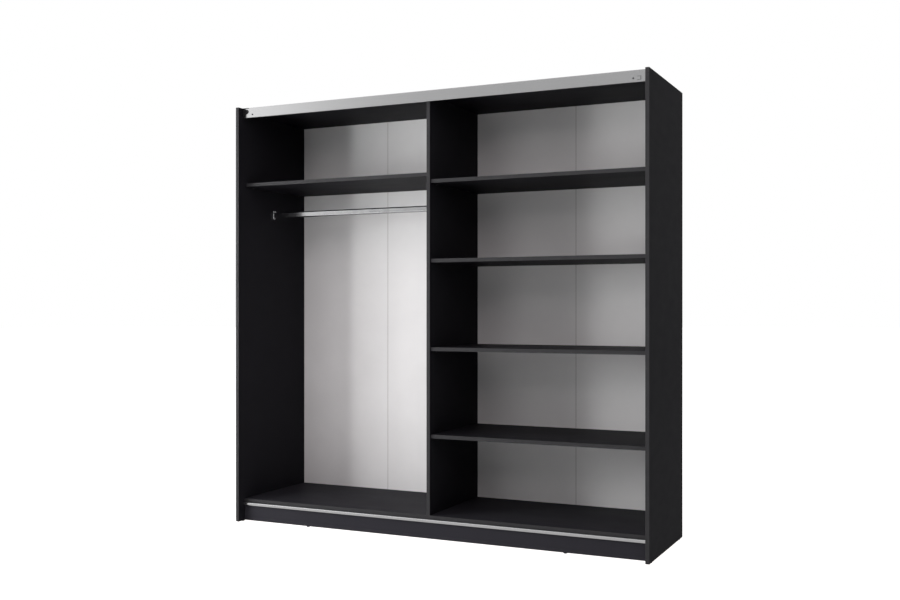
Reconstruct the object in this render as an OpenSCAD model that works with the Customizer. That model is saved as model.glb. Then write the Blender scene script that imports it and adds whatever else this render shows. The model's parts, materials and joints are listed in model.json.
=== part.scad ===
// Two-bay sliding-door wardrobe carcass, shown open with its doors off.
// Left bay: one high shelf and a hanging rail. Right bay: a column of loose shelves.
// Frame: X to the right, Y to the back, Z up; origin at the middle of the footprint on the floor.

/* [Carcass] */
// Overall width over the side panels
total_w = 2180; // [1800:10:2400]
// Overall depth of the side panels
total_d = 620; // [580:5:680]
// Overall height above the floor
total_h = 2150; // [2100:5:2300]
// Thickness of every board
board_t = 18; // [16:1:22]
// Thickness of the edge banding on the front edges
band_t = 1; // [0.4:0.1:2]
// Set-back of the partition and floor panel behind the side panels' front edges
inner_setback = 50; // [46:1:54]
// Thickness of the hardboard back
back_t = 3; // [2.5:0.5:3.5]
// Shift of the back's two joints to the right of the bays' middles
seam_shift = 11; // [-20:1:20]

/* [Base] */
// Height of the floor panel's top face
floor_top_z = 117; // [110:1:140]
// Set-back of the front plinth board
plinth_setback = 54; // [54:1:60]
// Gap under the plinth boards, filled by their glides
plinth_gap = 5; // [5:1:8]
// Gap under the side panels, filled by their glides
side_gap = 4; // [3:1:5]
// Diameter of the nail-in glides
glide_d = 17; // [14:1:18]

/* [Shelves] */
// Underside heights of the right bay's shelves, top one first
right_shelf_z = [1710.5, 1328.8, 904.3, 485.5]; // [200:0.1:2000]
// Set-back of the right bay's shelves
right_shelf_setback = 60; // [55:1:90]
// Underside height of the left bay's shelf
left_shelf_z = 1745.5; // [1700:0.5:1850]
// Set-back of the left bay's shelf
left_shelf_setback = 68; // [55:1:90]
// Gap between a shelf's end and the panel beside it
shelf_end_gap = 0.6; // [0.5:0.1:1.5]
// Diameter of a shelf pin's shank
pin_d = 5; // [4:0.5:6]

/* [Hanging rail] */
// Height of the oval tube
rail_h = 32; // [28:1:34]
// Width of the oval tube
rail_w = 16; // [14:1:17]
// Wall thickness of the tube
rail_wall = 1; // [0.8:0.1:1.5]
// Height of the rail's centre
rail_z = 1613; // [1560:1:1640]
// Distance of the rail behind the front edges
rail_setback = 302; // [280:1:330]

/* [Door tracks] */
// Set-back of the top track's front face
track_setback = 34; // [30:1:34]
// Height of the top track's front face
track_h = 52; // [48:1:58]
// Wall thickness of the track
track_wall = 1.5; // [1.2:0.1:2]
// Set-back of the bottom guide's rounded nose
guide_setback = 38; // [36:1:38]
// Height of the bottom guide
guide_h = 15; // [14:1:18]

/* [Hidden] */
$fn = 48;

eps = 0.01;
fit = 0.1;                                    // clearance round a fastener
y_front = -total_d / 2;
half_w = total_w / 2;
bay_x = half_w - board_t;                     // inner face of a side panel
part_x = board_t / 2;                         // face of the centre partition
rebate_d = 4;                                 // rebate for the back, in the side panels' rear edges
rebate_w = 9;
inner_back = total_d - rebate_d;              // set-back of the hardboard's front face
floor_z = floor_top_z - board_t;              // underside of the floor panel
flange_t = 2;                                 // fixing flange of both aluminium profiles
flange_d = 26;
top_z = total_h - flange_t - board_t;         // underside of the top panel
plinth_top = floor_z - flange_t - 0.1;
rear_plinth_y = inner_back - 30 - board_t;
shelf_back = inner_back - 1.6;
bay_mid = (bay_x + part_x) / 2;               // middle of a bay
seam_x = [seam_shift - bay_mid, seam_shift + bay_mid];
seam_w = 1.6;                                 // gap between the two back panels of a bay
strip_w = 14;                                 // flange of the strips behind the back's joints
strip_t = 0.8;
strip_web = 1.4;
strip_recess = 0.6;
back_low = floor_z + 2;
back_high = total_h - flange_t - 1;
track_y1 = inner_setback;                     // rear face of the top track's rear wall
web_z = total_h - track_h + 6;                // underside of the web that carries the rollers
notch_w = 40;                                 // width of the cut-out at the track's left end
lip_h = 2.8;                                  // height of the left stop's lip along the top
tongue_slot = 1.2;
stop_inset = 62;                              // a track stop's screw, from the side panel
stop_screw_x = bay_x - stop_inset;
stop_screw_z = web_z + 10.5;
stop_screw_head = 8;
stop_screw_d = 3.2;

// fastener stations along the depth and height
cam_y = [110, 300, 530];
dowel_y = [150, 490];
cam_inset = 34;
cam_d = 15;
cam_h = 12.5;
bolt_d = 6;
bolt_grip = 11;
dowel_d = 8;
dowel_l = 30;
dowel_grip = 12;
plinth_cam_z = 62;
plinth_dowel_z = [30, 80];
brace_dowel_z = [42, 74];
brace_x = [-bay_mid, 0, bay_mid];
pin_grip = 8;
pin_y = [60, shelf_back - 60];
glide_side_y = [50, total_d - 50];
plinth_glide_x = [-687, 687];
nail_pitch = 150;
nail_inset = 45;

// left and right limits of the four back panels
back_edge = bay_x + rebate_w - 0.5;
back_spans = [
    [-back_edge, seam_x[0] - seam_w / 2], [seam_x[0] + seam_w / 2, -0.2],
    [0.2, seam_x[1] - seam_w / 2], [seam_x[1] + seam_w / 2, back_edge]
];

// dark board, its lighter banding and the other finishes
dark = [0.13, 0.135, 0.15];
band_grey = [0.25, 0.25, 0.27];
pale = [0.83, 0.83, 0.85];
metal = [0.77, 0.78, 0.80];
black = [0.05, 0.05, 0.055];

// A box given by its limits; y runs from the side panels' front edges backwards.
module block(x0, x1, y0, y1, z0, z1)
    translate([x0, y_front + y0, z0]) cube([x1 - x0, y1 - y0, z1 - z0]);

// A cylinder along X, from x0 to x1.
module rod_x(x0, x1, y, z, d)
    translate([x0, y_front + y, z]) rotate([0, 90, 0]) cylinder(d = d, h = x1 - x0);

// A cylinder along Y, from y0 to y1.
module rod_y(x, y0, y1, z, d)
    translate([x, y_front + y0, z]) rotate([-90, 0, 0]) cylinder(d = d, h = y1 - y0);

// A cylinder along Z, from z0 to z1.
module rod_z(x, y, z0, z1, d)
    translate([x, y_front + y, z0]) cylinder(d = d, h = z1 - z0);

// ---------- fasteners, made bigger by c when they are used as holes ----------

// Wooden dowels and cam bolts between a horizontal board and both side panels.
module end_dowels(zc, c = 0)
    for (s = [-1, 1], y = dowel_y)
        rod_x(s > 0 ? bay_x - dowel_l + dowel_grip - c : -bay_x - dowel_grip - c,
              s > 0 ? bay_x + dowel_grip + c : -bay_x + dowel_l - dowel_grip + c,
              y, zc, dowel_d + 2 * c);

module end_bolts(zc, c = 0)
    for (s = [-1, 1], y = cam_y)
        rod_x(s > 0 ? bay_x - cam_inset + 2 : -bay_x - bolt_grip - c,
              s > 0 ? bay_x + bolt_grip + c : -bay_x + cam_inset - 2,
              y, zc, bolt_d + 2 * c);

module end_cams(z0, z1, c = 0)
    for (s = [-1, 1], y = cam_y)
        rod_z(s * (bay_x - cam_inset), y, z0, z1, cam_d + 2 * c);

// The same between a plinth board, whose middle is at depth yc, and both side panels.
module plinth_dowels(yc, c = 0)
    for (s = [-1, 1], z = plinth_dowel_z)
        rod_x(s > 0 ? bay_x - dowel_l + dowel_grip - c : -bay_x - dowel_grip - c,
              s > 0 ? bay_x + dowel_grip + c : -bay_x + dowel_l - dowel_grip + c,
              yc, z, dowel_d + 2 * c);

module plinth_bolts(yc, c = 0)
    for (s = [-1, 1])
        rod_x(s > 0 ? bay_x - cam_inset + 2 : -bay_x - bolt_grip - c,
              s > 0 ? bay_x + bolt_grip + c : -bay_x + cam_inset - 2,
              yc, plinth_cam_z, bolt_d + 2 * c);

module plinth_cams(y0, y1, c = 0)
    for (s = [-1, 1])
        rod_y(s * (bay_x - cam_inset), y0, y1, plinth_cam_z, cam_d + 2 * c);

// Dowels between the braces and the two plinth boards.
module brace_dowels(c = 0)
    for (x = brace_x, z = brace_dowel_z) {
        rod_y(x, plinth_setback + board_t - dowel_grip - c,
              plinth_setback + board_t + dowel_l - dowel_grip + c, z, dowel_d + 2 * c);
        rod_y(x, rear_plinth_y - dowel_l + dowel_grip - c,
              rear_plinth_y + dowel_grip + c, z, dowel_d + 2 * c);
    }

// One confirmat screw with its head flush at z_head; up is 1 when it is driven upwards.
module confirmat(y, z_head, up, c = 0)
    translate([0, y_front + y, z_head]) mirror([0, 0, up > 0 ? 0 : 1]) {
        translate([0, 0, c > 0 ? -1 : 0]) cylinder(d = 10 + 2 * c, h = 3 + (c > 0 ? 1 : 0) + c);
        cylinder(d = 7 + 2 * c, h = board_t - 1);
        cylinder(d = 5.5 + 2 * c, h = 50 + c);
    }

module confirmats(c = 0)
    for (y = cam_y) {
        confirmat(y, floor_z, 1, c);
        confirmat(y, top_z + board_t, -1, c);
    }

// A countersunk wood screw along +Z with its head's top at z = 0.
module wood_screw(head_d, shank_d, head_h, length, c = 0) {
    translate([0, 0, -head_h]) cylinder(d1 = shank_d + 2 * c, d2 = head_d + 2 * c, h = head_h);
    translate([0, 0, -length - c]) cylinder(d = shank_d + 2 * c, h = length - head_h + c + eps);
    if (c > 0) cylinder(d = head_d + 2 * c, h = 1);
}

// Steel nails that hold the back: their heads lie flush in the hardboard.
function row(a, b, pitch) = [for (i = [0 : floor((b - a) / pitch)]) a + (b - a) * i / floor((b - a) / pitch)];

module nail(x, z, c = 0) {
    rod_y(x, inner_back + back_t - 0.8, inner_back + back_t + (c > 0 ? 1 : 0), z, 3.6 + 2 * c);
    rod_y(x, inner_back + back_t - 22 - c, inner_back + back_t - 0.4, z, 1.6 + 2 * c);
}

module upright_nails(x, c = 0)
    for (z = row(back_low + nail_inset, back_high - nail_inset, nail_pitch)) nail(x, z, c);

module level_nails(z, c = 0)
    for (span = back_spans, x = row(span[0] + nail_inset, span[1] - nail_inset, nail_pitch)) nail(x, z, c);

// ---------- boards ----------

module side_holes(s) {
    for (zc = [floor_z + board_t / 2, top_z + board_t / 2]) {
        end_dowels(zc, fit);
        end_bolts(zc, fit);
    }
    for (yc = [plinth_setback, rear_plinth_y]) {
        plinth_dowels(yc + board_t / 2, fit);
        plinth_bolts(yc + board_t / 2, fit);
    }
    if (s < 0) shelf_pin_shanks(-bay_x, -1, left_shelf_setback, left_shelf_z, fit);
    if (s < 0) socket_screws(-1, fit);
    if (s > 0) for (z = right_shelf_z) shelf_pin_shanks(bay_x, 1, right_shelf_setback, z, fit);
    upright_nails(s * (bay_x + rebate_w / 2), fit);
}

module side_panel(s)
    difference() {
        block(s > 0 ? bay_x : -half_w, s > 0 ? half_w : -bay_x, band_t, total_d, side_gap, total_h);
        block(s > 0 ? bay_x - 1 : -bay_x - rebate_w, s > 0 ? bay_x + rebate_w : -bay_x + 1,
              inner_back, total_d + 1, side_gap - 1, total_h + 1);
        side_holes(s);
    }

module left_side_panel() color(dark) side_panel(-1);

module right_side_panel() color(dark) side_panel(1);

module centre_partition()
    color(dark) difference() {
        block(-part_x, part_x, inner_setback + band_t, inner_back, floor_top_z, top_z);
        confirmats(fit);
        shelf_pin_shanks(-part_x, 1, left_shelf_setback, left_shelf_z, fit);
        for (z = right_shelf_z) shelf_pin_shanks(part_x, -1, right_shelf_setback, z, fit);
        socket_screws(1, fit);
        for (s = [-1, 1]) upright_nails(s * part_x / 2, fit);
    }

module top_panel()
    color(dark) difference() {
        block(-bay_x, bay_x, inner_setback, inner_back, top_z, top_z + board_t);
        end_dowels(top_z + board_t / 2, fit);
        end_bolts(top_z + board_t / 2, 1);
        end_cams(top_z + board_t - cam_h, top_z + board_t + 1, fit);
        confirmats(fit);
        track_screws(fit);
        level_nails(top_z + board_t / 2, fit);
    }

module floor_panel()
    color(dark) difference() {
        block(-bay_x, bay_x, inner_setback + band_t, inner_back, floor_z, floor_top_z);
        end_dowels(floor_z + board_t / 2, fit);
        end_bolts(floor_z + board_t / 2, 1);
        end_cams(floor_z - 1, floor_z + cam_h, fit);
        confirmats(fit);
        guide_screws(fit);
        level_nails(floor_z + board_t / 2, fit);
    }

module front_plinth()
    color(dark) difference() {
        block(-bay_x, bay_x, plinth_setback, plinth_setback + board_t, plinth_gap, plinth_top);
        plinth_dowels(plinth_setback + board_t / 2, fit);
        plinth_bolts(plinth_setback + board_t / 2, 1);
        plinth_cams(plinth_setback + board_t - cam_h, plinth_setback + board_t + 1, fit);
        brace_dowels(fit);
    }

module rear_plinth()
    color(dark) difference() {
        block(-bay_x, bay_x, rear_plinth_y, rear_plinth_y + board_t, plinth_gap, floor_z);
        plinth_dowels(rear_plinth_y + board_t / 2, fit);
        plinth_bolts(rear_plinth_y + board_t / 2, 1);
        plinth_cams(rear_plinth_y - 1, rear_plinth_y + cam_h, fit);
        brace_dowels(fit);
    }

module plinth_braces()
    color(dark) difference() {
        for (x = brace_x)
            block(x - board_t / 2, x + board_t / 2, plinth_setback + board_t, rear_plinth_y, 22, floor_z);
        block(-bay_x, bay_x, 0, inner_setback + flange_d + 16, plinth_top, floor_z + 1);
        brace_dowels(fit);
        confirmats(1);
    }

module left_panel_edge_band()
    color(band_grey) block(-half_w, -bay_x, 0, band_t, side_gap, total_h);

module right_panel_edge_band()
    color(band_grey) block(bay_x, half_w, 0, band_t, side_gap, total_h);

module partition_edge_band()
    color(band_grey) block(-part_x, part_x, inner_setback, inner_setback + band_t, floor_top_z, top_z);

module floor_edge_band()
    color(band_grey) block(-bay_x, bay_x, inner_setback, inner_setback + band_t, floor_z, floor_top_z);

// ---------- back ----------

module back_panel(i)
    color(pale) difference() {
        block(back_spans[i][0], back_spans[i][1], inner_back, inner_back + back_t, back_low, back_high);
        back_nails(fit);
    }

module back_nails(c = 0) {
    for (x = [-bay_x - rebate_w / 2, -part_x / 2, part_x / 2, bay_x + rebate_w / 2]) upright_nails(x, c);
    for (z = [floor_z + board_t / 2, top_z + board_t / 2]) level_nails(z, c);
}

// T-section strips behind the joints: the web fills the gap and the flange bridges it.
module back_joint_strips()
    color(black) for (x = seam_x) {
        block(x - strip_web / 2, x + strip_web / 2, inner_back + strip_recess, inner_back + back_t + eps,
              back_low, back_high);
        block(x - strip_w / 2, x + strip_w / 2, inner_back + back_t, inner_back + back_t + strip_t,
              back_low, back_high);
    }

module back_panel_nails() color(metal) back_nails();

// ---------- door tracks ----------

// Section of the top track, drawn with the set-back along X and the height along Y.
module track_section() {
    y0 = track_setback;
    z0 = total_h - track_h;
    polygon([
        [y0, z0 + 1.5], [y0 + 1.5, z0], [y0 + 5, z0], [y0 + 5, z0 + track_wall],
        [y0 + track_wall, z0 + track_wall + 1], [y0 + track_wall, web_z], [track_y1, web_z],
        [track_y1, top_z + board_t], [track_y1 + flange_d, top_z + board_t],
        [track_y1 + flange_d, total_h], [track_y1 - track_wall, total_h],
        [track_y1 - track_wall, web_z + track_wall], [y0 + 9, web_z + track_wall],
        [y0 + 8.4, web_z + track_wall + 1], [y0 + 7, web_z + track_wall + 1],
        [y0 + 6.4, web_z + track_wall], [y0 + track_wall, web_z + track_wall],
        [y0 + track_wall, total_h], [y0 + 0.5, total_h], [y0 + 0.5, total_h - 3], [y0, total_h - 3.5]
    ]);
}

// Places a section drawn as [set-back, height] along X, from -len/2 to len/2.
module along_x(len)
    translate([-len / 2, y_front, 0]) rotate([90, 0, 90]) linear_extrude(height = len) children();

// Cut-out at the left end of the front face, where the black stop shows; right of the side
// panel and down from the top. A pointed tongue of metal stays under the stop's lip.
module left_notch()
    translate([-bay_x, y_front + track_setback + track_wall + 0.2, total_h]) rotate([90, 0, 0])
        linear_extrude(height = track_wall + 3)
            polygon([
                [-1, 1], [notch_w, 1], [notch_w, -lip_h - 0.1], [13, -lip_h - 1.3], [33, -11], [36.5, -13],
                [38.5, -16], [39.2, -19.5], [38.2, -24], [35.5, -28], [31.5, -31], [26, -32.5],
                [21.5, -33.5], [20, -37], [19.5, -41], [16.5, -43.6], [-1, -43.6]
            ]);

// Fine slots round the spring tongue at the right end.
module tongue_slots() {
    x0 = bay_x - 45;
    x1 = x0 + 18;
    z0 = web_z + 2.2;
    z1 = z0 + 16.8;
    for (z = [z0, z1 - tongue_slot])
        block(x0, x1, track_setback - 1, track_setback + track_wall + 0.2, z, z + tongue_slot);
    block(x1 - 2 * tongue_slot, x1, track_setback - 1, track_setback + track_wall + 0.2, z0, z1);
}

module top_track()
    color(metal) difference() {
        along_x(2 * bay_x - 0.6) track_section();
        left_notch();
        tongue_slots();
        for (s = [-1, 1])
            rod_y(s * stop_screw_x, track_setback - 1, track_setback + track_wall + 1, stop_screw_z,
                  stop_screw_d + 1.2);
        track_screws(fit);
    }

module track_screws(c = 0)
    for (x = row(-bay_x + 90, bay_x - 90, 275))
        translate([x, y_front + track_y1 + flange_d / 2, total_h]) wood_screw(7.4, 3.6, flange_t, 17, c);

module top_track_screws() color(black) track_screws();

// Moulded end stop that sits in the track's channel, with a rounded buffer towards the middle.
module track_stop(s) {
    y0 = track_setback + track_wall + 0.4;
    y1 = track_y1 - track_wall - 0.4;
    buffer_z = total_h - 20;
    color(black) difference() {
        mirror([s > 0 ? 0 : 1, 0, 0]) union() {
            block(stop_screw_x - 4, bay_x - 1, y0, y1, web_z + 3, buffer_z);
            block(bay_x - 44, bay_x - 1, y0, y1, web_z + 3, total_h - 7);
            rod_y(bay_x - 44, y0, y1, buffer_z, 26);
            if (s < 0) block(bay_x - notch_w + 0.2, bay_x - 1, track_setback, y1, total_h - lip_h, total_h - 0.1);
            if (s < 0) block(bay_x - notch_w + 3, bay_x - 1, y0, y1, total_h - 8, total_h - 0.1);
        }
        rod_y(s * stop_screw_x, track_setback, track_y1 - 3, stop_screw_z, stop_screw_d + 0.2);
    }
}

module left_track_stop() track_stop(-1);

module right_track_stop() track_stop(1);

module track_stop_screws()
    color(black) for (s = [-1, 1]) {
        rod_y(s * stop_screw_x, track_setback - 1.8, track_setback - 0.02, stop_screw_z, stop_screw_head);
        rod_y(s * stop_screw_x, track_setback - 0.5, track_setback + 10, stop_screw_z, stop_screw_d);
    }

// Bottom guide: a rounded nose, a groove for the doors' guides and a flange under the floor panel.
module guide_section() {
    y0 = guide_setback;
    y1 = plinth_setback;
    z1 = floor_z;
    z0 = z1 - guide_h;
    r = 3.5;
    difference() {
        union() {
            translate([y0 + r, z0]) square([y1 - y0 - r, guide_h]);
            translate([y0, z0 + r]) square([y1 - y0, guide_h - 2 * r]);
            translate([y0 + r, z0 + r]) circle(r);
            translate([y0 + r, z1 - r]) circle(r);
            translate([y1 - eps, z1 - flange_t]) square([inner_setback + flange_d + 14 - y1, flange_t]);
        }
        translate([y0 + 4.4, z0 + 3]) square([6, guide_h]);
    }
}

module bottom_guide()
    color(metal) difference() {
        along_x(2 * bay_x - 0.6) guide_section();
        guide_screws(fit);
    }

module guide_screws(c = 0)
    for (x = row(-bay_x + 90, bay_x - 90, 275))
        translate([x, y_front + inner_setback + flange_d + 6, floor_z - flange_t])
            rotate([180, 0, 0]) wood_screw(7.4, 3.6, flange_t, 16, c);

module bottom_guide_screws() color(black) guide_screws();

// ---------- shelves ----------

module shelf_board(x0, x1, setback, z)
    color(dark) block(x0 + shelf_end_gap, x1 - shelf_end_gap, setback + band_t, shelf_back, z, z + board_t);

module shelf_band(x0, x1, setback, z)
    color(band_grey) block(x0 + shelf_end_gap, x1 - shelf_end_gap, setback, setback + band_t, z, z + board_t);

module left_shelf() shelf_board(-bay_x, -part_x, left_shelf_setback, left_shelf_z);
module left_shelf_band() shelf_band(-bay_x, -part_x, left_shelf_setback, left_shelf_z);
module right_shelf(i) shelf_board(part_x, bay_x, right_shelf_setback, right_shelf_z[i]);
module right_shelf_band(i) shelf_band(part_x, bay_x, right_shelf_setback, right_shelf_z[i]);

// Shanks of one side's two pins: x is the panel's face, s the way into the panel.
module shelf_pin_shanks(x, s, setback, z, c = 0)
    for (y = [setback + pin_y[0], pin_y[1]])
        rod_x(s > 0 ? x - 0.5 : x - pin_grip - c, s > 0 ? x + pin_grip + c : x + 0.5,
              y, z - 3.2, pin_d + 2 * c);

// A pin has a shank in the panel, a collar against it and a flat tongue under the shelf.
module shelf_pin_tongues(x, s, setback, z)
    for (y = [setback + pin_y[0], pin_y[1]]) {
        rod_x(s > 0 ? x - 1.5 : x + 0.02, s > 0 ? x - 0.02 : x + 1.5, y, z - 5.2, 9.6);
        block(s > 0 ? x - 14 : x + 0.4, s > 0 ? x - 0.4 : x + 14, y - 5, y + 5, z - 1.9, z - 0.3);
    }

module shelf_pins(x0, x1, setback, z) {
    shelf_pin_shanks(x0, -1, setback, z);
    shelf_pin_shanks(x1, 1, setback, z);
    shelf_pin_tongues(x0, -1, setback, z);
    shelf_pin_tongues(x1, 1, setback, z);
}

module left_shelf_pins() color(metal) shelf_pins(-bay_x, -part_x, left_shelf_setback, left_shelf_z);

module right_shelf_pins()
    color(metal) for (z = right_shelf_z) shelf_pins(part_x, bay_x, right_shelf_setback, z);

// ---------- hanging rail ----------

socket_plate_t = 2;
socket_depth = 14;
socket_wall = 3;
socket_floor = 5;                             // thickness under the tube
socket_gap = 0.3;
socket_top = rail_h / 2 + 8;                  // above the rail's centre
socket_screw_z = [rail_z - 8, rail_z + 8];    // hidden behind the tube's end

// Flat-sided oval of the given width and height, standing upright round the origin.
module oval(w, h) {
    square([w, h - w], center = true);
    for (s = [-1, 1]) translate([0, s * (h - w) / 2]) circle(d = w);
}

// Places an outline drawn as [set-back, height] round the rail's axis, from x0 to x1.
module at_rail(x0, x1)
    translate([x0, y_front + rail_setback, rail_z]) rotate([90, 0, 90])
        linear_extrude(height = x1 - x0) children();

module hanging_rail()
    color("silver") at_rail(-bay_x + socket_plate_t + 0.5, -part_x - socket_plate_t - 0.5)
        difference() {
            oval(rail_w, rail_h);
            oval(rail_w - 2 * rail_wall, rail_h - 2 * rail_wall);
        }

// Outline of a socket's cup: round below, open above when c is its clearance to the tube.
module cup(w, below, above) {
    translate([0, w / 2 - below]) circle(d = w);
    translate([-w / 2, w / 2 - below]) square([w, above - w / 2 + below]);
}

// Open-topped cup with its own back wall; x is the panel's face, s the way out of it.
module rail_socket(x, s) {
    w_in = rail_w + 2 * socket_gap;
    below = rail_h / 2 + socket_gap;
    floor_x = x + s * socket_plate_t;
    mouth_x = x + s * socket_depth;
    color("silver") difference() {
        at_rail(min(x, mouth_x), max(x, mouth_x))
            cup(w_in + 2 * socket_wall, below + socket_floor, socket_top);
        at_rail(min(floor_x, mouth_x + s), max(floor_x, mouth_x + s)) cup(w_in, below, socket_top + 1);
        socket_screws(s > 0 ? -1 : 1, fit);
    }
}

// Screws of the left socket (side -1) or of the socket on the partition (side 1).
module socket_screws(side, c = 0)
    for (z = socket_screw_z)
        translate([side < 0 ? -bay_x + socket_plate_t : -part_x - socket_plate_t, y_front + rail_setback, z])
            rotate([0, side < 0 ? 90 : -90, 0]) wood_screw(7, 3.4, 2, 14, c);

module left_rail_socket() rail_socket(-bay_x, 1);

module right_rail_socket() rail_socket(-part_x, -1);

module rail_socket_screws()
    color(metal) for (side = [-1, 1]) socket_screws(side);

// ---------- hidden fasteners and glides ----------

module cam_housings()
    color(metal) difference() {
        union() {
            end_cams(top_z + board_t - cam_h, top_z + board_t - 0.2);
            end_cams(floor_z + 0.2, floor_z + cam_h);
            plinth_cams(plinth_setback + board_t - cam_h, plinth_setback + board_t - 0.2);
            plinth_cams(rear_plinth_y + 0.2, rear_plinth_y + cam_h);
        }
        for (zc = [floor_z + board_t / 2, top_z + board_t / 2]) end_bolts(zc, fit);
        for (yc = [plinth_setback, rear_plinth_y]) plinth_bolts(yc + board_t / 2, fit);
    }

module cam_bolts()
    color(metal) {
        for (zc = [floor_z + board_t / 2, top_z + board_t / 2]) end_bolts(zc);
        for (yc = [plinth_setback, rear_plinth_y]) plinth_bolts(yc + board_t / 2);
    }

module wood_dowels()
    color("burlywood") {
        for (zc = [floor_z + board_t / 2, top_z + board_t / 2]) end_dowels(zc);
        for (yc = [plinth_setback, rear_plinth_y]) plinth_dowels(yc + board_t / 2);
        brace_dowels();
    }

module confirmat_screws() color(metal) confirmats();

// A nail-in glide: a low disc with a bevelled foot.
module glide(x, y, h)
    translate([x, y_front + y, 0]) {
        cylinder(d1 = glide_d - 2, d2 = glide_d, h = 1);
        translate([0, 0, 1 - eps]) cylinder(d = glide_d, h = h - 1);
    }

module side_panel_glides()
    color(black) for (s = [-1, 1], y = glide_side_y) glide(s * (half_w - board_t / 2), y, side_gap);

module plinth_glides()
    color(black) for (x = plinth_glide_x, y = [plinth_setback, rear_plinth_y])
        glide(x, y + board_t / 2, plinth_gap);

left_side_panel();
right_side_panel();
centre_partition();
top_panel();
floor_panel();
front_plinth();
rear_plinth();
plinth_braces();
left_panel_edge_band();
right_panel_edge_band();
partition_edge_band();
floor_edge_band();
back_panel(0);  // back_panel_1
back_panel(1);  // back_panel_2
back_panel(2);  // back_panel_3
back_panel(3);  // back_panel_4
back_joint_strips();
back_panel_nails();
top_track();
top_track_screws();
left_track_stop();
right_track_stop();
track_stop_screws();
bottom_guide();
bottom_guide_screws();
left_shelf();
left_shelf_band();
right_shelf(0);  // right_shelf_1
right_shelf_band(0);  // right_shelf_1_band
right_shelf(1);  // right_shelf_2
right_shelf_band(1);  // right_shelf_2_band
right_shelf(2);  // right_shelf_3
right_shelf_band(2);  // right_shelf_3_band
right_shelf(3);  // right_shelf_4
right_shelf_band(3);  // right_shelf_4_band
left_shelf_pins();
right_shelf_pins();
hanging_rail();
left_rail_socket();
right_rail_socket();
rail_socket_screws();
cam_housings();
cam_bolts();
wood_dowels();
confirmat_screws();
side_panel_glides();
plinth_glides();
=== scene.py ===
"""Open two-bay wardrobe carcass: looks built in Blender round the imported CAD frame, in metres."""
import json
import math

import bmesh
import bpy
import numpy as np
from mathutils import Matrix, Vector


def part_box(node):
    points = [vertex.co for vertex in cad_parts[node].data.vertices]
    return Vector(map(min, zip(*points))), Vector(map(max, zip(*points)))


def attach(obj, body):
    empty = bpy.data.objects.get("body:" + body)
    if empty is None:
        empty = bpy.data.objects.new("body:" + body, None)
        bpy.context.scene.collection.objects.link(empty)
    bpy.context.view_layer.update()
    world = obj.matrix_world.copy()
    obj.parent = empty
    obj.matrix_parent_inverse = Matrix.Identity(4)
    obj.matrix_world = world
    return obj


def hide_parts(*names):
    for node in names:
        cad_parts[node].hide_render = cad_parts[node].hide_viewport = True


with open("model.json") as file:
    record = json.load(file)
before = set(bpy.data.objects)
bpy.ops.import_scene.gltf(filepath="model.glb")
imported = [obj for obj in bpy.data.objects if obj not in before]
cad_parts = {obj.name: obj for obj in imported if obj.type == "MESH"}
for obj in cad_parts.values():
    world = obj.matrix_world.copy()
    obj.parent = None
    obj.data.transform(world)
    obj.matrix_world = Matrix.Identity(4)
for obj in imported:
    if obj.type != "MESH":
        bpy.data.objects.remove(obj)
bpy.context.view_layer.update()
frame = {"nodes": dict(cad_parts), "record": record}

NODES = frame["nodes"]
BODY_OF = {n: body for body, names in frame["record"]["behaviour"]["bodies"].items() for n in names}
SLOT_OF = {s["node"]: s["material_slot"] for s in frame["record"]["subparts"]}
MM = 0.001
X, Y, Z = Vector((1, 0, 0)), Vector((0, 1, 0)), Vector((0, 0, 1))
SAME_POINT = 1e-5        # corners nearer than this are one point
ON_AXIS = 1e-7           # a turned ring smaller than this is a single point


# ---------------------------------------------------------------- camera

CAMERA_PLACE = (2.279, -4.8236, 1.1067)
CAMERA_YAW = math.radians(25.361)      # turned to the left of straight ahead
SENSOR_WIDTH = 36                      # mm
LENS = 42.58                           # mm
LENS_SHIFT = 0.0098                    # upwards, as a share of the picture's width


def make_camera():
    """A level camera to the right of the open front, at about half the wardrobe's height."""
    data = bpy.data.cameras.new("camera")
    data.sensor_width = SENSOR_WIDTH
    data.lens = LENS
    data.shift_y = LENS_SHIFT
    camera = bpy.data.objects.new("camera", data)
    camera.location = CAMERA_PLACE
    camera.rotation_euler = (math.pi / 2, 0, CAMERA_YAW)
    bpy.context.scene.collection.objects.link(camera)
    bpy.context.scene.camera = camera


# ---------------------------------------------------------------- materials

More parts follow.
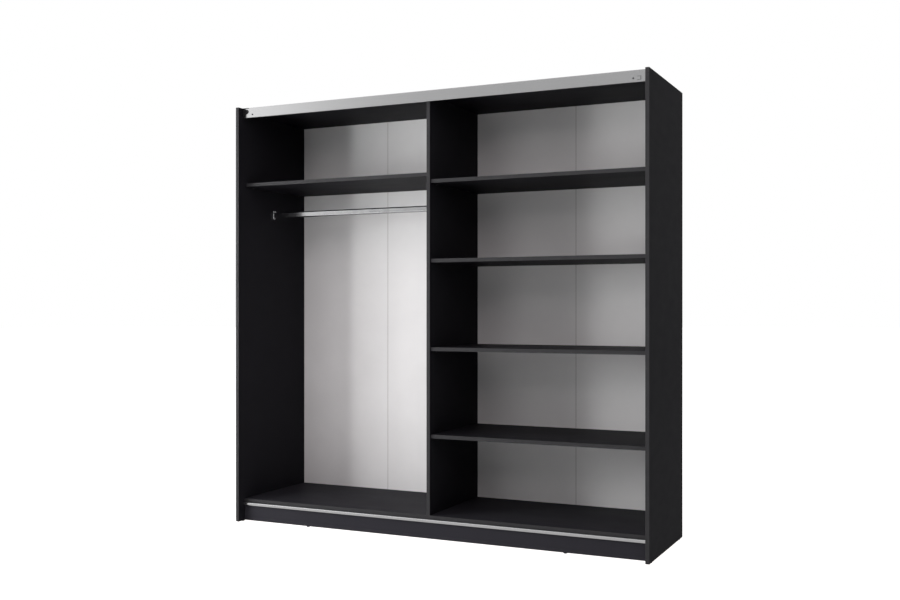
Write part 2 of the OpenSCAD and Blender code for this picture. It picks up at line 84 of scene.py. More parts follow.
class Shader:
    """A material's node tree with short calls for the nodes used here. Places are in metres."""

    def __init__(self, name):
        self.material = bpy.data.materials.new(name)
        self.material.use_nodes = True
        self.tree = self.material.node_tree
        self.surface = self.tree.nodes["Principled BSDF"]
        texture = self.tree.nodes.new("ShaderNodeTexCoord").outputs
        self.place = texture["Object"]
        self.facing = texture["Normal"]

    def node(self, kind, settings=None, **inputs):
        n = self.tree.nodes.new(kind)
        for key, value in (settings or {}).items():
            setattr(n, key, value)
        for key, value in inputs.items():
            socket = n.inputs[int(key[1:])] if key[0] == "i" and key[1:].isdigit() else n.inputs[key]
            if isinstance(value, bpy.types.NodeSocket):
                self.tree.links.new(value, socket)
            else:
                socket.default_value = value
        return n

    def stretched(self, scale):
        """The place, scaled differently along X, Y and Z."""
        return self.node("ShaderNodeMapping", Vector=self.place, Scale=scale).outputs["Vector"]

    def noise(self, scale, detail=2.0, roughness=0.5, place=None):
        return self.node("ShaderNodeTexNoise", Vector=place or self.place, Scale=scale,
                         Detail=detail, Roughness=roughness).outputs["Fac"]

    def cells(self, scale, place=None, output="Distance"):
        return self.node("ShaderNodeTexVoronoi", Vector=place or self.place,
                         Scale=scale).outputs[output]

    def ranged(self, value, low, high, from_low=0.3, from_high=0.7):
        """Maps a texture's value onto low..high."""
        return self.node("ShaderNodeMapRange", i0=value, i1=from_low, i2=from_high,
                         i3=low, i4=high).outputs[0]

    def tinted(self, value, dark, light):
        """Mixes two colours by a value from 0 to 1."""
        return self.node("ShaderNodeMix", {"data_type": "RGBA"}, i0=value,
                         i6=(*dark, 1), i7=(*light, 1)).outputs[2]

    def mix(self, value, a, b):
        return self.node("ShaderNodeMix", {"data_type": "RGBA"}, i0=value, i6=a, i7=b).outputs[2]

    def math(self, operation, a, b=0.0):
        return self.node("ShaderNodeMath", {"operation": operation}, i0=a, i1=b).outputs[0]

    def waves(self, scale, direction):
        return self.node("ShaderNodeTexWave", {"bands_direction": direction}, Vector=self.place,
                         Scale=scale).outputs["Fac"]

    def facing_along(self, axis):
        """How far a face looks along an axis, from -1 to 1."""
        return self.node("ShaderNodeSeparateXYZ", Vector=self.facing).outputs[axis]

    def bump(self, height, distance):
        return self.node("ShaderNodeBump", Height=height, Distance=distance,
                         Strength=1.0).outputs["Normal"]

    def finish(self, **inputs):
        for key, value in inputs.items():
            socket = self.surface.inputs[key.replace("_", " ")]
            if isinstance(value, bpy.types.NodeSocket):
                self.tree.links.new(value, socket)
            else:
                socket.default_value = value
        return self.material


def board_material(name, raw_rear=False, raw_under=False, painted_light_gain=1.0):
    """Matt anthracite melamine with a fine pearl; a board's rear or lower edge can be raw chipboard.
    The melamine colours can be scaled paler, which is painted light: it stands in for the extra light
    that low boards get from below.
    """
    s = Shader(name)

    # painted light: the melamine colours scaled paler for boards lit more strongly from below
    def grey(r, g, b):
        return tuple(painted_light_gain * c for c in (r, g, b))

    cloud = s.noise(2.5, detail=3)
    pearl = s.noise(1500, detail=2)
    plain = s.tinted(s.ranged(cloud, 0, 1), grey(0.0126, 0.0123, 0.0148), grey(0.0138, 0.0135, 0.0162))
    flecked = s.tinted(s.ranged(pearl, 0, 1), grey(0.009, 0.0088, 0.0106), grey(0.020, 0.0196, 0.0233))
    colour = s.mix(0.5, plain, flecked)
    wipes = s.noise(9, detail=4, place=s.stretched((0.6, 1.0, 2.5)))
    roughness = s.ranged(wipes, 0.54, 0.58)
    height = pearl
    if raw_rear or raw_under:
        chips = s.cells(520, place=s.stretched((0.5, 1, 0.5)), output="Color")
        tone = s.node("ShaderNodeSeparateColor", Color=chips).outputs["Red"]
        raw = s.tinted(tone, (0.20, 0.125, 0.07), (0.52, 0.37, 0.23))
        rear = s.math("GREATER_THAN", s.facing_along("Y"), 0.5) if raw_rear else 0.0
        under = s.math("LESS_THAN", s.facing_along("Z"), -0.5) if raw_under else 0.0
        is_raw = s.math("MAXIMUM", rear, under)
        colour = s.mix(is_raw, colour, raw)
        roughness = s.math("ADD", roughness, s.math("MULTIPLY", is_raw, 0.3))
        height = s.math("ADD", pearl, s.math("MULTIPLY", s.math("MULTIPLY", tone, is_raw), 4.0))
    return s.finish(Base_Color=colour, Roughness=roughness, Normal=s.bump(height, 0.00006),
                    Specular_IOR_Level=0.035)


def band_material():
    """Satin ABS edge banding, a little paler than the board."""
    s = Shader("edge_band")
    streak = s.noise(60, detail=2, place=s.stretched((0.4, 1.0, 0.4)))
    grain = s.noise(2200)
    colour = s.tinted(s.ranged(streak, 0, 1), (0.027, 0.027, 0.029), (0.031, 0.031, 0.033))
    return s.finish(Base_Color=colour, Roughness=s.ranged(grain, 0.38, 0.5),
                    Normal=s.bump(grain, 0.00003), Specular_IOR_Level=0.25)


def hardboard_material():
    """Pale lacquered face inside, raw brown fibre with a pressed screen pattern outside."""
    s = Shader("hardboard")
    mottle = s.noise(5, detail=5)
    fibre = s.noise(420, detail=4, roughness=0.7)
    front = s.tinted(s.ranged(mottle, 0, 1), (0.713, 0.711, 0.712), (0.749, 0.747, 0.748))
    rear = s.tinted(s.ranged(fibre, 0, 1), (0.20, 0.125, 0.070), (0.37, 0.245, 0.145))
    is_rear = s.math("GREATER_THAN", s.facing_along("Y"), -0.5)
    weave = s.math("MULTIPLY", s.waves(160, "X"), s.waves(160, "Z"))
    height = s.math("ADD", s.math("MULTIPLY", s.math("MULTIPLY", weave, is_rear), 0.6),
                    s.math("MULTIPLY", fibre, s.ranged(is_rear, 0.12, 0.5, 0, 1)))
    return s.finish(Base_Color=s.mix(is_rear, front, rear),
                    Roughness=s.ranged(is_rear, 0.48, 0.85, 0, 1),
                    Normal=s.bump(height, 0.0002), Specular_IOR_Level=0.35)


def aluminium_material(name, tint):
    """Satin anodised aluminium with fine draw lines along X."""
    s = Shader(name)
    lines = s.noise(700, detail=2, place=s.stretched((0.002, 1, 1)))
    cloud = s.noise(4, detail=2)
    pale, dull = (tint, tint, tint * 1.01), (tint * 0.975, tint * 0.975, tint * 0.985)
    return s.finish(Base_Color=s.tinted(s.ranged(cloud, 0, 1), dull, pale), Metallic=1.0,
                    Roughness=s.ranged(lines, 0.19, 0.21), Normal=s.bump(lines, 0.0000015),
                    Anisotropic=0.3)


def chrome_material():
    """Bright chrome plate with the slightest orange peel."""
    s = Shader("chrome")
    peel = s.noise(120, detail=1)
    smudge = s.noise(25, detail=3)
    colour = s.tinted(s.ranged(smudge, 0, 1), (0.75, 0.755, 0.765), (0.80, 0.805, 0.815))
    return s.finish(Base_Color=colour, Metallic=1.0, Roughness=s.ranged(smudge, 0.14, 0.20),
                    Normal=s.bump(peel, 0.00001))


def plastic_material():
    """Black moulded plastic with a spark-eroded texture."""
    s = Shader("black_plastic")
    grain = s.noise(1800, detail=2)
    colour = s.tinted(s.ranged(grain, 0, 1), (0.008, 0.008, 0.009), (0.014, 0.014, 0.015))
    return s.finish(Base_Color=colour, Roughness=s.ranged(grain, 0.45, 0.6),
                    Normal=s.bump(grain, 0.00005), Specular_IOR_Level=0.35)


def black_screw_material():
    """Black zinc on steel, rubbed a little paler in places."""
    s = Shader("black_screw")
    rub = s.noise(900, detail=3)
    colour = s.tinted(s.ranged(rub, 0, 1), (0.08, 0.08, 0.083), (0.17, 0.17, 0.175))
    return s.finish(Base_Color=colour, Metallic=0.8, Roughness=s.ranged(rub, 0.32, 0.5),
                    Normal=s.bump(rub, 0.00003))


def zinc_material():
    """Bright zinc plate with its cloudy passivation."""
    s = Shader("zinc")
    spangle = s.cells(350)
    cloud = s.noise(120, detail=3)
    colour = s.tinted(s.ranged(cloud, 0, 1), (0.50, 0.51, 0.53), (0.66, 0.66, 0.66))
    return s.finish(Base_Color=colour, Metallic=1.0, Roughness=s.ranged(spangle, 0.26, 0.42, 0, 1),
                    Normal=s.bump(spangle, 0.00002))


def beech_material():
    """Raw beech with short flecks along the dowel."""
    s = Shader("beech")
    fleck = s.noise(500, detail=3, place=s.stretched((0.12, 0.5, 1)))
    colour = s.tinted(s.ranged(fleck, 0, 1), (0.46, 0.30, 0.17), (0.66, 0.47, 0.30))
    return s.finish(Base_Color=colour, Roughness=s.ranged(fleck, 0.6, 0.75),
                    Normal=s.bump(fleck, 0.0001))


MATERIALS = {
    "board": board_material("board"), "edge_band": band_material(), "hardboard": hardboard_material(),
    "aluminium": aluminium_material("aluminium", 0.74), "chrome": chrome_material(),
    "black_plastic": plastic_material(), "black_screw": black_screw_material(),
    "zinc": zinc_material(), "beech": beech_material(),
}


def dress_cad_nodes():
    """Gives each carried-over CAD node its procedural material."""
    side = board_material("board_side_panel", raw_rear=True, raw_under=True)
    shelf = board_material("board_shelf", raw_rear=True)
    # painted light: the plinth and floor panel use the same melamine made paler, standing in for the
    # light that reaches them from below
    plinth = board_material("board_plinth_painted_light", raw_under=True, painted_light_gain=1.85)
    floor = board_material("board_floor_painted_light", painted_light_gain=1.6)
    special = {"left_side_panel": side, "right_side_panel": side, "front_plinth": plinth,
               "rear_plinth": plinth, "plinth_braces": plinth, "floor_panel": floor,
               "bottom_guide": aluminium_material("aluminium_guide", 0.86)}
    for name, obj in NODES.items():
        is_shelf = SLOT_OF[name] == "board" and "shelf" in name
        obj.data.materials.clear()
        obj.data.materials.append(shelf if is_shelf else special.get(name, MATERIALS[SLOT_OF[name]]))


# ---------------------------------------------------------------- mesh helpers

def shade(obj, angle):
    """Smooth faces that meet at less than the angle; sharp edges stay sharp."""
    mesh = obj.data
    mesh.polygons.foreach_set("use_smooth", [True] * len(mesh.polygons))
    bm = bmesh.new()
    bm.from_mesh(mesh)
    for e in bm.edges:
        e.smooth = len(e.link_faces) == 2 and e.calc_face_angle(0) < math.radians(angle)
    bm.to_mesh(mesh)
    bm.free()


def piece(name, bm, nodes, angle=35):
    """Turns a bmesh into a piece that stands for CAD nodes of one body and slot."""
    bmesh.ops.recalc_face_normals(bm, faces=bm.faces)
    mesh = bpy.data.meshes.new(name)
    bm.to_mesh(mesh)
    bm.free()
    obj = bpy.data.objects.new(name, mesh)
    bpy.context.scene.collection.objects.link(obj)
    mesh.materials.append(MATERIALS[SLOT_OF[nodes[0]]])
    shade(obj, angle)
    weighted = obj.modifiers.new("flat_faces_stay_flat", "WEIGHTED_NORMAL")
    weighted.keep_sharp = True
    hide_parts(*nodes)
    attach(obj, BODY_OF[nodes[0]])


def solids_of(node):
    """(lowest corner, highest corner) of each separate solid in a CAD node."""
    mesh = NODES[node].data
    co = np.array([v.co for v in mesh.vertices])
    _, point = np.unique(np.round(co / SAME_POINT).astype(np.int64), axis=0, return_inverse=True)
    point = point.reshape(-1)
    group = np.arange(point.max() + 1)

    def root(i):
        while group[i] != i:
            group[i] = group[group[i]]
            i = group[i]
        return i

    for poly in mesh.polygons:
        corners = [root(point[v]) for v in poly.vertices]
        for c in corners[1:]:
            group[root(c)] = root(corners[0])
    roots = np.array([root(i) for i in range(len(group))])[point]
    boxes = [(Vector(co[roots == r].min(0)), Vector(co[roots == r].max(0))) for r in np.unique(roots)]
    return sorted(boxes, key=lambda b: tuple(round(c, 4) for c in b[0]))


def middle_of(node):
    """The middle of a CAD node's box at rest."""
    low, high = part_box(node)
    return (low + high) / 2


def frame_at(origin, out):
    """A matrix whose local +Z points along out from origin."""
    return Matrix.Translation(origin) @ out.to_track_quat("Z", "Y").to_matrix().to_4x4()


def lathe(bm, profile, place, segments=32):
    """Adds the solid got by turning (radius, height) points round local Z at a place."""
    rings = []
    for r, h in profile:
        if r < ON_AXIS:
            rings.append([bm.verts.new(place @ Vector((0, 0, h)))])
        else:
            turn = [2 * math.pi * k / segments for k in range(segments)]
            rings.append([bm.verts.new(place @ Vector((r * math.cos(a), r * math.sin(a), h)))
                          for a in turn])
    for a, b in zip(rings, rings[1:]):
        for k in range(segments):
            j = (k + 1) % segments
            corners = [a[k % len(a)], a[j % len(a)], b[j % len(b)], b[k % len(b)]]
            unique = [v for i, v in enumerate(corners) if v not in corners[:i]]
            if len(unique) > 2:
                bm.faces.new(unique)


def prism(bm, outline, place, z0, z1, chamfer=0.0):
    """Adds an outline extruded along local Z, its ends drawn in by a chamfer.

    Each corner is drawn in along the mean of its two sides' inward directions; the two limits
    keep a very sharp corner from running away.
    """
    n = len(outline)
    shrink = []
    for i in range(n):
        a, b, c = Vector(outline[i - 1]), Vector(outline[i]), Vector(outline[(i + 1) % n])
        d0, d1 = (b - a).normalized(), (c - b).normalized()
        inward = Vector((-d0.y - d1.y, d0.x + d1.x))
        length = max(inward.length, 0.2)
        shrink.append(b + inward / length * chamfer / max(0.5, length / 2))
    if chamfer:
        levels = [(shrink, z0), (outline, z0 + chamfer), (outline, z1 - chamfer), (shrink, z1)]
    else:
        levels = [(outline, z0), (outline, z1)]
    rings = [[bm.verts.new(place @ Vector((p[0], p[1], z))) for p in pts] for pts, z in levels]
    for a, b in zip(rings, rings[1:]):
        for k in range(n):
            bm.faces.new((a[k], a[(k + 1) % n], b[(k + 1) % n], b[k]))
    bm.faces.new(rings[0][::-1])
    bm.faces.new(rings[-1])


def rounded_box(bm, low, high, radius):
    """Adds a box whose edges are all rounded."""
    part = bmesh.new()
    bmesh.ops.create_cube(part, size=1)
    size = high - low
    for v in part.verts:
        v.co = low + Vector([(c + 0.5) * s for c, s in zip(v.co, size)])
    bmesh.ops.bevel(part, geom=part.edges[:], offset=radius, segments=2,
                    affect="EDGES", profile=0.5)
    temp = bpy.data.meshes.new("temp")
    part.to_mesh(temp)
    part.free()
    bm.from_mesh(temp)
    bpy.data.meshes.remove(temp)


def arc(cx, cy, r, a0, a1, n):
    """Points of an arc in degrees, both ends included."""
    return [(cx + r * math.cos(math.radians(a0 + (a1 - a0) * k / n)),
             cy + r * math.sin(math.radians(a0 + (a1 - a0) * k / n))) for k in range(n + 1)]


def thread(start, end, pitch, core, crest, rise, fall):
    """(radius, height) points of the turned rings that stand for a thread below a head.

    start and end are depths below the head's top; each ring is highest at rise and ends at
    fall, both measured from where it starts.
    """
    points = []
    z = start
    while z < end:
        points += [(core, -z), (crest, -z - rise), (core, -z - fall)]
        z += pitch
    return points


def cross_head(bm, place, head, reach, depth, under):
    """Adds a turned head with a cross recess, and what is below it.

    head is the radius at the top, reach the recess's, depth its depth, and under the
    (radius, height) points that go on below the top's edge, down to the tip.
    """
    arm = reach * 0.26       # half an arm's width
    core = reach * 0.30      # where two arms meet
    taper = (0.55, 0.7)      # the recess's floor against its mouth
    cross = []
    for q in range(4):
        turn = Matrix.Rotation(math.radians(90 * q), 2)
        corners = ((core, -arm), (reach, -arm), (reach, arm), (core, arm))
        cross += [tuple(turn @ Vector(p)) for p in corners]
    angles = [math.atan2(y, x) for x, y in cross]
    outer = [(math.cos(a) * head, math.sin(a) * head) for a in angles]
    top = [bm.verts.new(place @ Vector((x, y, 0))) for x, y in cross]
    low = [bm.verts.new(place @ Vector((x * taper[0], y * taper[1], -depth))) for x, y in cross]
    edge = [bm.verts.new(place @ Vector((x, y, 0))) for x, y in outer]
    n = len(cross)
    for k in range(n):
        j = (k + 1) % n
        bm.faces.new((edge[k], edge[j], top[j], top[k]))
        bm.faces.new((top[k], top[j], low[j], low[k]))
    bm.faces.new(low)
    rings = [edge]
    for r, h in under:
        if r < ON_AXIS:
            tip = bm.verts.new(place @ Vector((0, 0, h)))
            for k in range(n):
                bm.faces.new((rings[-1][k], rings[-1][(k + 1) % n], tip))
            return
        ring = [bm.verts.new(place @ Vector((x / head * r, y / head * r, h))) for x, y in outer]
        for k in range(n):
            j = (k + 1) % n
            bm.faces.new((rings[-1][k], rings[-1][j], ring[j], ring[k]))
        rings.append(ring)
    bm.faces.new(rings[-1])


# ---------------------------------------------------------------- pieces

def soften_boards():
    """Breaks the sharp edges of the shelf boards by a fraction of a millimetre."""
    for name in NODES:
        if name.startswith(("left_shelf", "right_shelf")) and SLOT_OF[name] == "board":
            mod = NODES[name].modifiers.new("edge", "BEVEL")
            mod.width = 0.4 * MM
            mod.segments = 2


def edge_bands():
    """Edge banding: thin strips whose two front edges are rounded over."""
    for name in [n for n in NODES if SLOT_OF[n] == "edge_band"]:
        low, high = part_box(name)
        r = min(0.8 * MM, (high.y - low.y) * 0.8)
        upright = high.z - low.z > high.x - low.x
        width = high.x - low.x if upright else high.z - low.z
        outline = [(-width / 2, 0), *arc(-width / 2 + r, -(high.y - low.y) + r, r, 180, 270, 5),
                   *arc(width / 2 - r, -(high.y - low.y) + r, r, 270, 360, 5), (width / 2, 0)]
        mid = (low + high) / 2
        bm = bmesh.new()
        if upright:
            place = Matrix.Translation((mid.x, high.y, 0))
            prism(bm, outline, place, low.z, high.z)
        else:
            place = Matrix(((0, 0, 1, 0), (0, 1, 0, high.y), (-1, 0, 0, mid.z), (0, 0, 0, 1)))
            prism(bm, outline, place, low.x, high.x)
        piece(name + "_rounded", bm, [name])


def hanging_rail():
    """Oval chromed tube with a real wall and lightly rolled ends."""
    low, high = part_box("hanging_rail")
    w, h = high.y - low.y, high.z - low.z
    wall = 1.0 * MM
    mid = (low + high) / 2

    def oval(inset):
        r = w / 2 - inset
        lift = h / 2 - w / 2
        return arc(0, lift, r, 0, 180, 20) + arc(0, -lift, r, 180, 360, 20)

    roll = 0.4 * MM
    x0, x1 = low.x, high.x
    levels = [(oval(wall - roll), x0), (oval(roll), x0), (oval(0), x0 + roll),
              (oval(0), x1 - roll), (oval(roll), x1), (oval(wall - roll), x1),
              (oval(wall), x1 - roll), (oval(wall), x0 + roll)]
    bm = bmesh.new()
    rings = [[bm.verts.new((x, mid.y + a, mid.z + b)) for a, b in pts] for pts, x in levels]
    for a, b in zip(rings, rings[1:] + rings[:1]):
        n = len(a)
        for k in range(n):
            bm.faces.new((a[k], a[(k + 1) % n], b[(k + 1) % n], b[k]))
    piece("oval_rail", bm, ["hanging_rail"], angle=50)


def glides():
    """Nail-in glides: a low domed foot with a raised rim."""
    for node in ("side_panel_glides", "plinth_glides"):
        bm = bmesh.new()
        for low, high in solids_of(node):
            r, h = (high.x - low.x) / 2, high.z - low.z
            place = Matrix.Translation(((low.x + high.x) / 2, (low.y + high.y) / 2, low.z))
            lathe(bm, [(0, 0), (r - 2.2 * MM, 0), (r - 1.0 * MM, 0.25 * MM), (r - 0.3 * MM, 0.9 * MM),
                       (r, 1.7 * MM), (r, h - 0.9 * MM), (r - 0.5 * MM, h - 0.3 * MM),
                       (r - 0.5 * MM, h), (0, h)], place)
        piece(node + "_turned", bm, [node])


def screws():
    """Countersunk screws with a cross recess, threads as turned rings."""
    rail = middle_of("hanging_rail")
    outs = {"top_track_screws": lambda low: Z, "bottom_guide_screws": lambda low: -Z,
            "rail_socket_screws": lambda low: X if low.x < rail.x else -X,
            "track_stop_screws": lambda low: -Y}
    for node, out_of in outs.items():
        bm = bmesh.new()
        for low, high in solids_of(node):
            out = out_of(low)
            mid = (low + high) / 2
            half = (high - low) / 2
            length = abs((high - low).dot(out))
            head = max(h for h, o in zip(half, out) if not o)
            top = mid + out * length / 2
            pan = node == "track_stop_screws"
            shank = head * (0.40 if pan else 0.46)
            if pan:
                under = [(head, -1.2 * MM), (head * 0.9, -1.75 * MM), (shank, -1.78 * MM)]
            else:
                under = [(head, -0.25 * MM), (shank, -2.0 * MM)]
            pitch = 1.4 * MM
            under += thread(-under[-1][1] + pitch, length - 2.2 * MM, pitch,
                            shank * 0.78, shank, pitch * 0.4, pitch * 0.7)
            under.append((0, -length))
            cross_head(bm, frame_at(top, out), head, head * 0.62, 1.1 * MM, under)
        piece(node + "_cross_head", bm, [node])


def nails():
    """Round-headed panel nails."""
    bm = bmesh.new()
    for low, high in solids_of("back_panel_nails"):
        mid = (low + high) / 2
        place = frame_at(Vector((mid.x, high.y, mid.z)), Y)
        r, length = (high.x - low.x) / 2, high.y - low.y
        lathe(bm, [(0, 0), (r * 0.7, -0.03 * MM), (r, -0.25 * MM), (r * 0.95, -0.7 * MM),
                   (r * 0.44, -0.8 * MM), (r * 0.44, -length + 2 * MM), (0, -length)], place, 16)
    piece("panel_nails", bm, ["back_panel_nails"])


def cam_housings():
    """Die-cast cams: a disc with a deep cross recess, a rim and a waist.

    They face up in the top panel, down in the floor panel and inwards in the plinths.
    """
    middle = middle_of("centre_partition")
    bm = bmesh.new()
    for low, high in solids_of("cam_housings"):
        size = high - low
        upright = size.z < size.x
        if upright:
            out = Z if low.z > middle.z else -Z
        else:
            out = Y if low.y < middle.y else -Y
        mid = (low + high) / 2
        depth = size.z if upright else size.y
        r = 7.5 * MM
        top = mid + out * depth / 2
        cross_head(bm, frame_at(top, out), r, 3.6 * MM, 3.0 * MM,
                   [(r, -1.6 * MM), (r - 0.8 * MM, -2.2 * MM), (r - 0.8 * MM, -depth + 1.5 * MM),
                    (r - 0.3 * MM, -depth + 1.0 * MM), (r - 0.3 * MM, -depth)])
    piece("cams", bm, ["cam_housings"])


def cam_bolts():
    """Cam bolts: a ball head, a neck, a collar and a coarse thread."""
    bm = bmesh.new()
    for low, high in solids_of("cam_bolts"):
        mid = (low + high) / 2
        right = mid.x > 0
        out = -X if right else X
        head = Vector((low.x if right else high.x, mid.y, mid.z))
        r, length = (high.y - low.y) / 2, high.x - low.x
        profile = [(0, 0), (r * 0.7, -0.3 * MM), (r, -1.6 * MM), (r * 0.7, -3 * MM),
                   (r * 0.55, -4.5 * MM), (r * 0.55, -9 * MM), (r * 0.9, -10 * MM),
                   (r * 0.9, -length + 13 * MM), (r, -length + 12 * MM), (r, -length + 11 * MM)]
        profile += thread(length - 10.4 * MM, length - 1.5 * MM, 1.6 * MM,
                          r * 0.6, r * 0.95, 0.7 * MM, 1.4 * MM)
        lathe(bm, profile + [(0, -length)], frame_at(head, out), 20)
    piece("cam_bolt_set", bm, ["cam_bolts"])


def dowels():
    """Fluted beech dowels with chamfered ends."""
    bm = bmesh.new()
    flutes = 12
    for low, high in solids_of("wood_dowels"):
        size = high - low
        along_x = size.x > size.y
        r = (size.y if along_x else size.x) / 2
        length = size.x if along_x else size.y
        mid = (low + high) / 2
        out = X if along_x else Y
        place = frame_at(mid, out)
        ring = []
        for k in range(flutes * 4):
            depth = 0.35 * MM if k % 4 == 2 else 0.0
            a = 2 * math.pi * k / (flutes * 4)
            ring.append(((r - depth) * math.cos(a), (r - depth) * math.sin(a)))
        prism(bm, ring, place, -length / 2, length / 2, chamfer=0.8 * MM)
    piece("fluted_dowels", bm, ["wood_dowels"], angle=20)


def confirmats():
    """Confirmat screws: a flat head with a round socket, a plain neck and a coarse thread."""
    middle = middle_of("centre_partition")
    bm = bmesh.new()
    for low, high in solids_of("confirmat_screws"):
        from_above = low.z > middle.z
        out = Z if from_above else -Z
        mid = (low + high) / 2
        head = Vector((mid.x, mid.y, high.z if from_above else low.z))
        r, length = (high.x - low.x) / 2, high.z - low.z
        profile = [(0, -2.2 * MM), (2.0 * MM, -2.2 * MM), (2.0 * MM, -0.2 * MM), (2.2 * MM, 0),
                   (r - 0.2 * MM, 0), (r, -0.3 * MM), (r, -2.8 * MM), (3.5 * MM, -3 * MM),
                   (3.5 * MM, -17 * MM)]
        profile += thread(17.6 * MM, length - 3 * MM, 2.6 * MM,
                          2.1 * MM, 2.7 * MM, 1.0 * MM, 2.0 * MM)
        lathe(bm, profile + [(0, -length)], frame_at(head, out), 24)
    piece("confirmat_set", bm, ["confirmat_screws"])


def shelf_pins():
    """Black plastic shelf pins: shank, collar and a tongue with rounded edges."""
    shank = 8 * MM
    for node in ("left_shelf_pins", "right_shelf_pins"):
        bm = bmesh.new()
        bay_middle = middle_of(node).x
        for low, high in solids_of(node):
            mid = (low + high) / 2
            out = X if mid.x < bay_middle else -X
            panel = low.x + shank if out.x > 0 else high.x - shank
            axis = Vector((panel, mid.y, high.z - 2.9 * MM))
            lathe(bm, [(0, -shank), (2.1 * MM, -shank), (2.5 * MM, -7.4 * MM), (2.5 * MM, 0.02 * MM),
                       (4.4 * MM, 0.05 * MM), (4.8 * MM, 0.4 * MM), (4.8 * MM, 1.1 * MM),
                       (4.4 * MM, 1.5 * MM), (0, 1.5 * MM)], frame_at(axis, out), 24)
            x0, x1 = sorted((panel + out.x * 0.4 * MM, panel + out.x * 14 * MM))
            rounded_box(bm, Vector((x0, mid.y - 5 * MM, high.z - 1.6 * MM)),
                        Vector((x1, mid.y + 5 * MM, high.z)), 0.5 * MM)
        piece(node + "_pressed", bm, [node])


def rail_sockets():
    """Die-cast sockets: a cup open at the top on its own back wall, all edges softened."""
    rail_low, rail_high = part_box("hanging_rail")
    rail = (rail_low + rail_high) / 2
    clearance = 0.3 * MM
    inner = (rail_high.y - rail_low.y) / 2 + clearance
    inner_drop = inner - (rail_high.z - rail_low.z) / 2 - clearance
    for node in ("left_rail_socket", "right_rail_socket"):
        low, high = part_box(node)
        left = low.x < rail.x
        out = 1 if left else -1
        place = Matrix(((0, 0, out, low.x if left else high.x), (1, 0, 0, rail.y),
                        (0, 1, 0, rail.z), (0, 0, 0, 1)))
        outer = (high.y - low.y) / 2
        outer_drop = low.z - rail.z + outer
        top = high.z - rail.z
        corner = 1.5 * MM
        rim = [(outer, top - corner), (outer - corner, top), (corner - outer, top),
               (-outer, top - corner)]
        bowl = arc(0, outer_drop, outer, 180, 360, 28)
        hollow = arc(0, inner_drop, inner, 0, -180, 24)
        wall = [*bowl, *rim]
        cup = [*bowl, *rim[:2], (inner, top), *hollow, (-inner, top), *rim[2:]]
        depth = high.x - low.x
        back = 2 * MM
        bm = bmesh.new()
        prism(bm, wall, place, 0, back, chamfer=0.3 * MM)
        prism(bm, cup, place, back - 0.6 * MM, depth, chamfer=0.5 * MM)
        piece(node + "_cast", bm, [node], angle=40)


# ---------------------------------------------------------------- stage

FLOOR_RADIUS = 60
MIRRORED_FLOOR = (0.2, 0.2, 0.2, 1)    # metal mirrors a darker floor near the wardrobe


def make_stage():
    """A plain white floor that glows a little, like a lit studio sweep.

    Matt surfaces get less of its glow than the camera, and metal mirrors it darker up to about
    four metres in front, most of all at the front left.
    """
    bm = bmesh.new()
    bmesh.ops.create_circle(bm, cap_ends=True, segments=96, radius=FLOOR_RADIUS)
    mesh = bpy.data.meshes.new("floor")
    bm.to_mesh(mesh)
    bm.free()
    floor = bpy.data.objects.new("floor", mesh)
    bpy.context.scene.collection.objects.link(floor)
    s = Shader("floor")
    haze = s.noise(0.6, detail=2)
    rays = s.tree.nodes.new("ShaderNodeLightPath").outputs
    spot = s.node("ShaderNodeSeparateXYZ", Vector=s.place).outputs
    near = s.ranged(spot["Y"], 0, 1, -4.4, -3.2)
    mirrored = s.math("MULTIPLY", rays["Is Glossy Ray"], near)
    front = s.ranged(spot["Y"], 1, 0, -1.6, -0.8)
    left = s.ranged(spot["X"], 1, 0, -0.3, 0.7)
    front_left = s.math("MULTIPLY", s.math("MULTIPLY", front, left), 0.25)
    dimmed = s.math("MULTIPLY", mirrored, front_left)
    glow = s.math("SUBTRACT", s.ranged(rays["Is Camera Ray"], 0.3, 1.0, 0, 1), dimmed)
    pale = s.tinted(s.ranged(haze, 0, 1), (0.86, 0.86, 0.86), (0.88, 0.88, 0.88))
    floor.data.materials.append(s.finish(
        Base_Color=s.mix(mirrored, pale, MIRRORED_FLOOR), Emission_Color=(1, 1, 1, 1),
        Emission_Strength=glow, Roughness=0.9, Specular_IOR_Level=0.1))


LAMP_AIM = Vector((0, -0.3, 1.1))      # the middle of the open front
GLOW_HEADING = math.radians(-55)       # where the room's glow is, from straight in front
GLOW_EDGE = (math.radians(23.8), math.radians(17.6))   # from there: where it starts, and is full
GLOW_LEVEL = (0.46, 1.2)               # what metal mirrors of the room: outside the glow, and in it
ROOM_LIGHT = 0.17                      # what matt surfaces get from the room
BLACK_LEVEL = 0.0007                   # light up to this turns black in the picture
WARM = (1.0, 0.92, 0.94)               # the colour of the lamps at the front right


def softbox(name, azimuth, elevation, distance, size, radiance, colour=(1, 1, 1)):
    """A big lamp aimed at the middle of the wardrobe's front, which lights matt surfaces only.

    azimuth is in degrees from straight in front, positive to the right; its power is what
    gives its face the radiance.
    """
    az, el = math.radians(azimuth), math.radians(elevation)
    out = Vector((math.sin(az) * math.cos(el), -math.cos(az) * math.cos(el), math.sin(el)))
    data = bpy.data.lights.new(name, "AREA")
    data.shape = "RECTANGLE"
    data.size, data.size_y = size
    data.color = colour
    data.energy = radiance * math.pi * size[0] * size[1]
    lamp = bpy.data.objects.new(name, data)
    lamp.location = LAMP_AIM + distance * out
    lamp.rotation_euler = out.to_track_quat("Z", "Y").to_euler()
    lamp.visible_glossy = False
    bpy.context.scene.collection.objects.link(lamp)


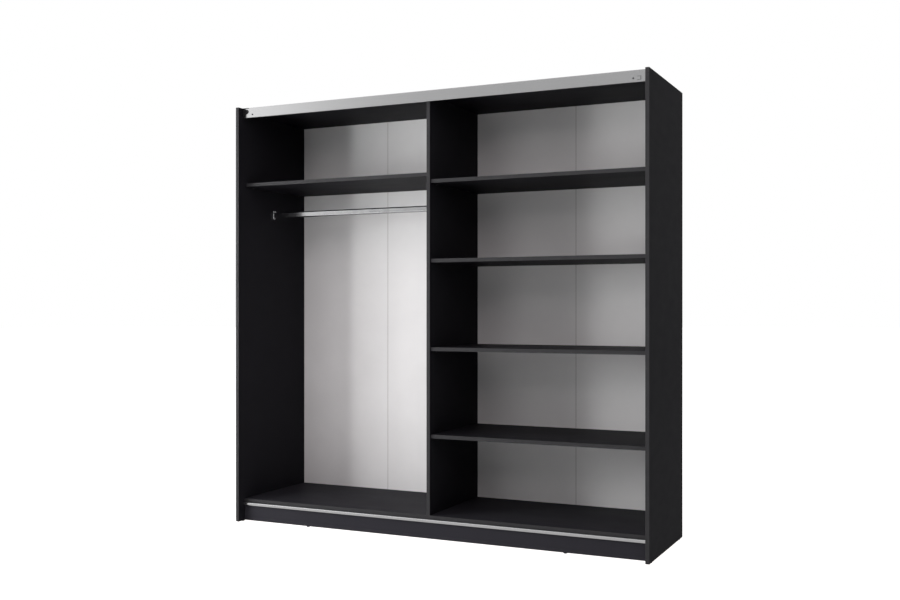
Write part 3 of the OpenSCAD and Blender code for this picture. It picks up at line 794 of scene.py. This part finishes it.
def make_lamps():
    """Soft studio light: key lamps at the front left, fills in front and one behind."""
    softbox("key_strip", -48.8, 6, 2.57, (0.2, 1.0), 26.3)
    softbox("key_near", -54, 2, 3, (1.0, 1.2), 5.5)
    softbox("key_far", -50, 2, 6, (2.0, 2.1), 6.9)
    softbox("key_side", -60, 1, 6, (2.0, 2.1), 6.5)
    softbox("front_fill", -18, 12, 6, (2.0, 2.0), 2.4)
    softbox("right_fill", 20, 28, 6, (2.7, 2.9), 3.75, WARM)
    softbox("top_fill", 20, 55, 6, (3.0, 3.0), 2.1, WARM)
    softbox("back_fill", 180, 25, 6, (3.0, 3.0), 1.5)


def make_room():
    """A white room, which metal mirrors darker except for a glow at the front left."""
    world = bpy.data.worlds.new("studio")
    bpy.context.scene.world = world
    world.use_nodes = True
    tree = world.node_tree
    path = tree.nodes.new("ShaderNodeLightPath")
    place = tree.nodes.new("ShaderNodeTexCoord")
    level = tree.nodes.new("ShaderNodeVectorMath")
    level.operation = "MULTIPLY"
    level.inputs[1].default_value = (1, 1, 0)
    tree.links.new(place.outputs["Generated"], level.inputs[0])
    heading = tree.nodes.new("ShaderNodeVectorMath")
    heading.operation = "NORMALIZE"
    tree.links.new(level.outputs[0], heading.inputs[0])
    toward = tree.nodes.new("ShaderNodeVectorMath")
    toward.operation = "DOT_PRODUCT"
    toward.inputs[1].default_value = (math.sin(GLOW_HEADING), -math.cos(GLOW_HEADING), 0)
    tree.links.new(heading.outputs[0], toward.inputs[0])
    glow = tree.nodes.new("ShaderNodeMapRange")
    glow.interpolation_type = "SMOOTHSTEP"
    for socket, value in zip(glow.inputs[1:5], (*map(math.cos, GLOW_EDGE), *GLOW_LEVEL)):
        socket.default_value = value
    tree.links.new(toward.outputs["Value"], glow.inputs[0])
    reflected = tree.nodes.new("ShaderNodeMix")
    reflected.inputs[2].default_value = ROOM_LIGHT
    tree.links.new(path.outputs["Is Glossy Ray"], reflected.inputs[0])
    tree.links.new(glow.outputs[0], reflected.inputs[3])
    strength = tree.nodes.new("ShaderNodeMix")
    strength.inputs[3].default_value = 1.0
    tree.links.new(path.outputs["Is Camera Ray"], strength.inputs[0])
    tree.links.new(reflected.outputs[0], strength.inputs[2])
    room = tree.nodes["Background"]
    room.inputs["Color"].default_value = (1, 1, 1, 1)
    tree.links.new(strength.outputs[0], room.inputs["Strength"])


def set_view():
    """A plain view transform whose deepest tones reach black."""
    view = bpy.context.scene.view_settings
    view.view_transform = "Standard"
    view.look = "None"
    view.use_curve_mapping = True
    view.curve_mapping.black_level = (BLACK_LEVEL,) * 3
    view.curve_mapping.update()


make_camera()
dress_cad_nodes()
soften_boards()
edge_bands()
hanging_rail()
rail_sockets()
glides()
screws()
nails()
cam_housings()
cam_bolts()
dowels()
confirmats()
shelf_pins()
make_stage()
make_lamps()
make_room()
set_view()
